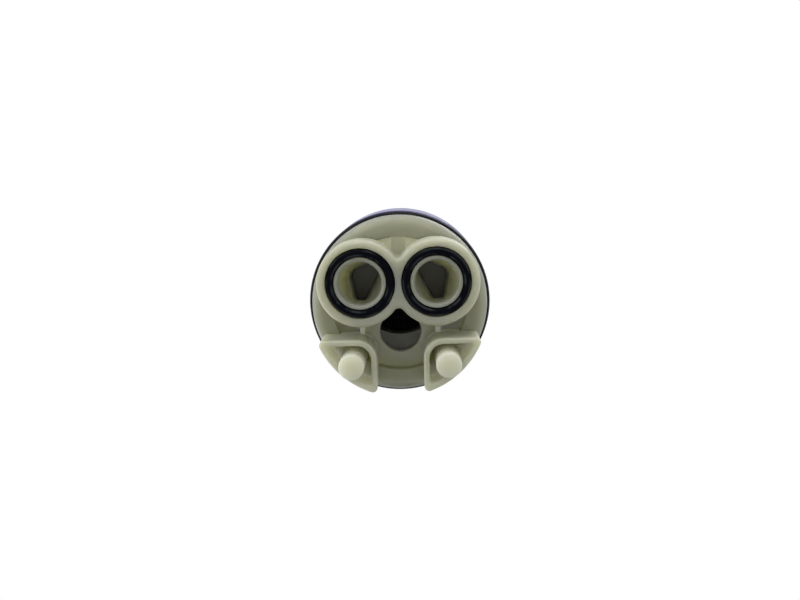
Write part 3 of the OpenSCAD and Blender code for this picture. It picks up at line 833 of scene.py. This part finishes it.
black_plastic = moulded("black plastic", BLACK_PLASTIC, 0.03, 0.5)
insert = slab(facing(CHAMBER_CORNERS, CHAMBER_STEP - 0.1), CHAMBER_STEP_Z, CHAMBER_STEP_Z + SILENCER_T)
spots = [(SILENCER_PITCH * i, SILENCER_PITCH * k) for i in range(-2, 3) for k in range(4)]
through = (CHAMBER_STEP_Z - OVERCUT, CHAMBER_STEP_Z + 2 * OVERCUT)
holes = [slab(circle(SILENCER_HOLE_R, (x, 0.2 + y), 16), *through)
         for x, y in spots if math.hypot(x, y - 1.7) < 3.9]
silencer = moved(cut(insert, *holes), y=SLIDE_Y)
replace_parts(piece("perforated_silencer", silencer, black_plastic, "disc"), "flow_silencer")

# Disc carrier
# The black plastic carrier drags the sliding disc by three tabs, with an
# O-ring between them, and takes the lever's ball in a socket in its top.
CARRIER_Z = 20.25
CARRIER_TOP_Z = 23.2
GUIDE = (11, 9.2)
GUIDE_TOP_Z = 25.6
SOCKET_R = 2.75
SOCKET_Z = 21.2
CARRIER_SEAL = (8.2, 0.75)
CARRIER_GROOVE_Z = CARRIER_Z + 1.52


def upright(size, low, high, edge=0.0):
    """Box of the given width and depth that stands on the axis."""
    width, depth = size
    return block((-width / 2, -depth / 2, low), (width / 2, depth / 2, high), edge)


def bore(radius, low, top, chamfer=0.0, steps=144):
    """Cutter for a round hole that widens by a chamfer at its mouth."""
    return lathe([(0, low), (radius, low), (radius, top - chamfer), (radius + chamfer, top),
                  (radius + chamfer, top + OVERCUT), (0, top + OVERCUT)], steps)


carrier = puck(SLIDE_R, CARRIER_Z, CARRIER_TOP_Z, 0.15, 0.25)
carrier = fused(carrier, upright(GUIDE, CARRIER_TOP_Z - 2 * SINK, GUIDE_TOP_Z, 0.25))
tabs = blocks_round(TAB_ANGLES, SLIDE_R - 1.3, SLIDE_R - 0.17, TAB_WIDTH,
                    CARRIER_Z - 1.4, CARRIER_Z + SINK, 0.15)
carrier = fused(carrier, *tabs)
carrier = cut(carrier, bore(SOCKET_R, SOCKET_Z, GUIDE_TOP_Z, 0.3, 64))
seal_path = lathe(band(CARRIER_SEAL[0] - 0.8, CARRIER_SEAL[0] + 0.8, CARRIER_Z - OVERCUT, CARRIER_GROOVE_Z))
carrier = moved(cut(carrier, seal_path), y=SLIDE_Y)
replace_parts(piece("carrier_moulding", carrier, black_plastic, "disc"), "disc_carrier")
carrier_ring = o_ring(*CARRIER_SEAL, (0, SLIDE_Y), SLIDE_Z + SLIDE_T + CARRIER_SEAL[1])
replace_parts(piece("carrier_seal_ring", carrier_ring, rubber, "disc"), "carrier_seal")

# Rotor and slip ring
# The white guide turns in the housing's neck. Its slot holds the lever, its
# notch takes the limit ring's lug, and a waxy ring parts it from the carrier.
ROTOR_Z = 24.1
ROTOR_FLANGE_R = 15.7
ROTOR_FLANGE_Z = 26.2
ROTOR_NECK_R = 10.75
ROTOR_TOP_Z = 38
ROTOR_CHANNEL = (11.4, 13.6)
ROTOR_CHANNEL_Z = 25.9
ROTOR_SLOT = (8.2, 11)
NOTCH_R = 9.2
NOTCH_HALF_ANGLE = 61
NOTCH_Z = 35.4
PIN_Z = 32
PIN_R = 1.5
SLIP_RING = (8.9, 13.6)
WHITE_PLASTIC = ((0.63, 0.63, 0.60), (0.67, 0.67, 0.64))
WAXY_PLASTIC = ((0.74, 0.73, 0.67), (0.80, 0.79, 0.74))


def laid(bm, x=0.0, z=0.0):
    """A body turned about Z, laid along X with its lower end at x."""
    bmesh.ops.rotate(bm, cent=(0, 0, 0), matrix=Matrix.Rotation(math.pi / 2, 3, "Y"), verts=bm.verts)
    return moved(bm, x, 0, z)


def part_ring(inner, outer, low, high, half_angle):
    """Part of a ring, centred on +Y."""
    outline = (arc((0, 0), outer, 90 - half_angle, 90 + half_angle, 32)
               + arc((0, 0), inner, 90 + half_angle, 90 - half_angle, 32))
    return slab(outline, low, high)


white_plastic = moulded("white plastic", WHITE_PLASTIC, 0.3, 0.35)
waxy_plastic = moulded("waxy plastic", WAXY_PLASTIC, 0.5, 0.28)
rotor = lathe(softened([
    (0, ROTOR_Z, 0), (ROTOR_FLANGE_R, ROTOR_Z, 0.2), (ROTOR_FLANGE_R, ROTOR_FLANGE_Z, 0.2),
    (ROTOR_NECK_R, ROTOR_FLANGE_Z, 0.2), (ROTOR_NECK_R, ROTOR_TOP_Z, 0.35), (0, ROTOR_TOP_Z, 0),
]))
rotor = cut(rotor, upright(ROTOR_CHANNEL, ROTOR_Z - OVERCUT, ROTOR_CHANNEL_Z))
rotor = cut(rotor, upright(ROTOR_SLOT, ROTOR_Z + 1, ROTOR_TOP_Z + OVERCUT))
rotor = cut(rotor, part_ring(NOTCH_R, 12, NOTCH_Z, ROTOR_TOP_Z + OVERCUT, NOTCH_HALF_ANGLE))
rotor = cut(rotor, laid(puck(PIN_R + 0.01, 0, 24, steps=48), -12, PIN_Z))
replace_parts(piece("rotor_moulding", rotor, white_plastic, "rotor", bevel=0.15), "rotor")
slip = lathe(band(*SLIP_RING, CARRIER_TOP_Z + 0.1, ROTOR_Z, 0.15, 0.15))
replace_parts(piece("waxy_slip_ring", slip, waxy_plastic, "rotor"), "slip_ring")

# Lever and its pin
# A tumbled zinc casting with a square stem, drilled and tapped for the
# handle's screw. It tilts on a ground steel pin, and a waxy cap makes its ball.
REST_TILT = 12.5
ARM = 8
STEM_W = 7.8
STEM_LENGTH = 22.5
HUB_R = 4.4
SHANK_R = 1.9
SHANK_TIP_R = 1.5
SCREW_R = 1.65
SCREW_DEPTH = 10
THREAD_PITCH = 0.7
THREAD_TURNS = 11
PIN_LENGTH = 19.6
BALL_R = 2.6
ZINC = ((0.40, 0.40, 0.41), (0.46, 0.46, 0.47))
STEEL = ((0.52, 0.52, 0.53), (0.58, 0.58, 0.59))


def metal(name, colours, rough, grain=6, stretch=(1, 1, 1)):
    """Bare metal with the faint marks of how it was finished."""
    material, wire, shader = finish_of(name, {"Metallic": 1.0})
    marks = wire.noise(grain, 3, 0.6, stretch)
    cloud = wire.noise(0.4, 3, 0.5)
    dress(shader, cloud.above(0.3, 0.7).blend(*colours), marks * 0.2 + cloud * 0.1 + (rough - 0.15),
          marks.bump(0.3, 0.00001))
    return material


def tilted(bm):
    """A body of the lever, from its own frame to its place on the pin at rest."""
    bmesh.ops.rotate(bm, cent=(0, 0, 0), matrix=Matrix.Rotation(math.radians(REST_TILT), 3, "X"),
                     verts=bm.verts)
    return moved(bm, z=PIN_Z)


def screw_thread(radius, pitch, low, turns, steps=24):
    """Ridge of an inside thread, wound up the wall of the screw hole."""
    bm = bmesh.new()
    ridge = [(radius + 0.1, low), (radius - 0.2, low + pitch * 0.4), (radius + 0.1, low + pitch * 0.8)]
    verts = [bm.verts.new((r, 0, z)) for r, z in ridge]
    edges = [bm.edges.new((verts[i - 1], verts[i])) for i in range(3)]
    bmesh.ops.spin(bm, geom=verts + edges, cent=(0, 0, 0), axis=(0, 0, 1), angle=2 * math.pi * turns,
                   steps=steps * turns, dvec=(0, 0, pitch / steps))
    bmesh.ops.holes_fill(bm, edges=bm.edges)
    return outward(bm)


zinc = metal("cast zinc", ZINC, 0.42)
steel = metal("ground steel", STEEL, 0.24, 8, (0.2, 1, 1))
stem = upright((STEM_W, STEM_W), 0, STEM_LENGTH, 0.6)
hub = laid(puck(HUB_R, 0, STEM_W, 0.3, 0.3, 96), -STEM_W / 2)
tip_z = BALL_R - ARM - 0.3
shank = lathe(softened([
    (0, -ARM - 1, 0), (SHANK_TIP_R, -ARM - 1, 0.2), (SHANK_TIP_R, tip_z, 0), (SHANK_R, tip_z, 0.15),
    (SHANK_R, -1, 0), (0, -1, 0),
]), 64)
lever = fused(fused(stem, hub), shank)
lever = cut(lever, laid(puck(PIN_R + 0.05, 0, 12, steps=48), -6))
lever = cut(lever, bore(SCREW_R, STEM_LENGTH - SCREW_DEPTH, STEM_LENGTH, 0.4, 48))
thread = screw_thread(SCREW_R, THREAD_PITCH, STEM_LENGTH - 8.8, THREAD_TURNS)
lever = tilted(together(lever, thread))
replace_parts(piece("cast_lever", lever, zinc, "lever"), "lever_stem")
pin = laid(puck(PIN_R, 0, PIN_LENGTH, 0.25, 0.25, 48), -PIN_LENGTH / 2, PIN_Z)
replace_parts(piece("ground_pin", pin, steel, "rotor"), "pivot_pin")
# The ball is bored for the shank's tip, and flat on top under the shank's shoulder
ball = bmesh.new()
bmesh.ops.create_uvsphere(ball, u_segments=48, v_segments=32, radius=BALL_R)
tip_bore_r = SHANK_TIP_R + 0.01
flat_z = BALL_R - 0.32
ball_cutter = lathe([
    (0, -1.02), (tip_bore_r, -1.02), (tip_bore_r, flat_z), (BALL_R + OVERCUT, flat_z),
    (BALL_R + OVERCUT, BALL_R + OVERCUT), (0, BALL_R + OVERCUT),
], 48)
cap = tilted(moved(cut(ball, ball_cutter), z=-ARM))
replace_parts(piece("waxy_ball_cap", cap, waxy_plastic, "lever"), "ball_cap")

# Housing and bearing washer
# The glossy violet upper shell slides over the disc pocket, snaps on the four
# lugs and clamps the discs. A black washer lies under its roof, and the neck
# that guides the rotor ends in a spline for the limit ring.
HOUSING_R = 17.9
HOUSING_BORE_R = 16.25
SHOULDER_Z = 28.6
ROOF_Z = 27
NECK_R = 12.6
NECK_BORE_R = 10.9
NECK_Z = 35.5
RING_Z = 33.5
WINDOW_WIDTH = 6.8
WINDOW_Z = (16.4, 18.8)
SPLINE_R = (12.55, 12.2)
SPLINE_TEETH = 24
WASHER = (11, 15.5)
VIOLET_PLASTIC = ((0.075, 0.069, 0.245), (0.089, 0.082, 0.28))


def toothed(outer, inner, teeth, steps=(0.1, 0.4, 0.6, 0.9)):
    """Outline with teeth between two radii. The first half of the steps lie on the outer one."""
    points = []
    for i in range(teeth):
        for k, step in enumerate(steps):
            a = 2 * math.pi * (i + step) / teeth
            r = outer if k < len(steps) / 2 else inner
            points.append((r * math.cos(a), r * math.sin(a)))
    return points


violet = moulded("violet plastic", VIOLET_PLASTIC, 0.1, 0.28, (1, 1, 0.15))
shell = lathe(softened([
    (HOUSING_BORE_R, LAND_Z, 0.15), (HOUSING_R, LAND_Z, 0.3), (HOUSING_R, SHOULDER_Z, 1.2),
    (NECK_R, SHOULDER_Z, 0.4), (NECK_R, RING_Z, 0.1), (NECK_BORE_R, RING_Z, 0), (NECK_BORE_R, ROOF_Z, 0.1),
    (HOUSING_BORE_R, ROOF_Z, 0.2),
], 6), 192)
neck = loft([(toothed(SPLINE_R[0] - r, SPLINE_R[1] - r, SPLINE_TEETH), z)
             for r, z in ((0, RING_Z - 0.3), (0, NECK_Z - 0.2), (0.2, NECK_Z))])
shell = fused(shell, cut(neck, bore(NECK_BORE_R, RING_Z - OVERCUT, NECK_Z, 0.2)))
wall = (HOUSING_BORE_R - OVERCUT, HOUSING_R + OVERCUT)
shell = cut(shell, *blocks_round(LUG_ANGLES, *wall, WINDOW_WIDTH, *WINDOW_Z, 0.3))
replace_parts(piece("violet_shell", shell, violet, "body"), "housing")
washer = lathe(band(*WASHER, ROTOR_FLANGE_Z + 0.05, ROOF_Z - 0.05, 0.1, 0.1))
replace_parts(piece("black_washer", washer, black_plastic, "body"), "bearing_washer")

# Limit ring
# The red toothed ring is pulled off and set back in steps on the neck's
# spline. Its lug stands in the rotor's notch and limits the turn to the hot side.
RING_TOP_Z = 37.2
RING_CAP_Z = 35.6
RING_R = 14.4
RING_TOOTH = 0.6
RING_TEETH = 40
RING_LUG_R = 9.4
RING_LUG_HALF_ANGLE = 8.5
RED_PLASTIC = ((0.46, 0.035, 0.025), (0.56, 0.05, 0.035))
red_plastic = moulded("red plastic", RED_PLASTIC, 0.45, 0.32, (1, 1, 0.3))
ring = loft([(toothed(RING_R - r, RING_R - RING_TOOTH - r, RING_TEETH, (0.0, 0.5)), z) for r, z in (
    (0.3, RING_Z), (0.08, RING_Z + 0.12), (0, RING_Z + 0.3),
    (0, RING_TOP_Z - 0.3), (0.08, RING_TOP_Z - 0.12), (0.3, RING_TOP_Z))])
ring = cut(ring, bore(ROTOR_NECK_R + 0.3, RING_Z - OVERCUT, RING_TOP_Z, 0.25))
spline_hole = toothed(SPLINE_R[0] + 0.05, SPLINE_R[1] + 0.05, SPLINE_TEETH)
ring = cut(ring, slab(spline_hole, RING_Z - OVERCUT, RING_CAP_Z))
ring = fused(ring, part_ring(RING_LUG_R, 12, RING_CAP_Z, RING_TOP_Z, RING_LUG_HALF_ANGLE))
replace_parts(piece("red_limit_ring", ring, red_plastic, "body", bevel=0.1), "limit_ring")

# Stage
# A pale floor under the pegs for the other views. It fades out to the white
# behind it, and is see-through from below, where the photograph's view comes from.
FLOOR_FADE = (150, 450)
floor_material, wire, shader = finish_of("pale floor", {"Base Color": (0.9, 0.9, 0.9, 1), "Roughness": 0.9})
tree = floor_material.node_tree
seen = wire.add("ShaderNodeLightPath", output="Is Camera Ray")
below = wire.add("ShaderNodeNewGeometry", output="Backfacing")
x, y, _ = wire.place()
near = 1 - squared_distance(x, y).beyond(*FLOOR_FADE)
mix = wire.add("ShaderNodeMixShader", inputs={
    0: seen * (1 - below) * near, 1: wire.add("ShaderNodeBsdfTransparent"), 2: Wire(tree, shader.outputs[0])})
tree.links.new(mix.socket, tree.nodes["Material Output"].inputs["Surface"])
floor = bmesh.new()
bmesh.ops.create_grid(floor, x_segments=1, y_segments=1, size=3)
floor_mesh = as_mesh(moved(floor, z=PEG_END_Z / 1000), "floor")
floor_mesh.materials.append(floor_material)
placed("floor", floor_mesh)

# World and lamps
# The world is white behind the object and in its reflections. As light it comes
# from the left and the right and along the axis, more from the upper end and from
# the inlets' side. Each lamp has its place, what it is aimed at, its size and power.
SIDE_LIGHT = 1.02
SIDE_BIAS = -0.05
AXIS_LIGHT = 0.755
AXIS_BIAS = 0.245
INLET_BIAS = 0.3
LAMPS = {
    "top": ((0, -0.489, -0.1), (0, 0, 0.005), 0.22, 0.83),
    "top left": ((-0.32, -0.382, -0.06), (0, 0, 0.005), 0.22, 0.47),
    "overhead": ((0.25, -0.35, 0.45), (0, 0, 0.03), 0.3, 1.1),
    "back": ((-0.40, 0.30, 0.35), (0, 0, 0.03), 0.3, 0.7),
}
world = bpy.data.worlds.new("studio")
scene.world = world
world.use_nodes = True
wire = Wire(world.node_tree)
camera_ray, glossy_ray, transmission_ray = [
    wire.add("ShaderNodeLightPath", output=f"Is {kind} Ray") for kind in ("Camera", "Glossy", "Transmission")]
seen = (camera_ray + glossy_ray + transmission_ray).above(0.2, 0.8)
x, y, z = wire.add("ShaderNodeTexCoord", output="Generated").parts()
light = x * x * SIDE_LIGHT + x * abs(x) * SIDE_BIAS + z * z * AXIS_LIGHT + z * abs(z) * AXIS_BIAS
light = light * (1 - y * INLET_BIAS)
background = world.node_tree.nodes["Background"]
background.inputs["Color"].default_value = (1, 1, 1, 1)
world.node_tree.links.new((seen + (1 - seen) * light).socket, background.inputs["Strength"])
for name, (place, aim, size, power) in LAMPS.items():
    lamp = bpy.data.lights.new(name, "AREA")
    lamp.shape = "SQUARE"
    lamp.size = size
    lamp.energy = power
    softbox = placed(name, lamp)
    softbox.location = place
    softbox.rotation_euler = (Vector(aim) - Vector(place)).to_track_quat("-Z", "Y").to_euler()

scene.view_settings.view_transform = "Standard"
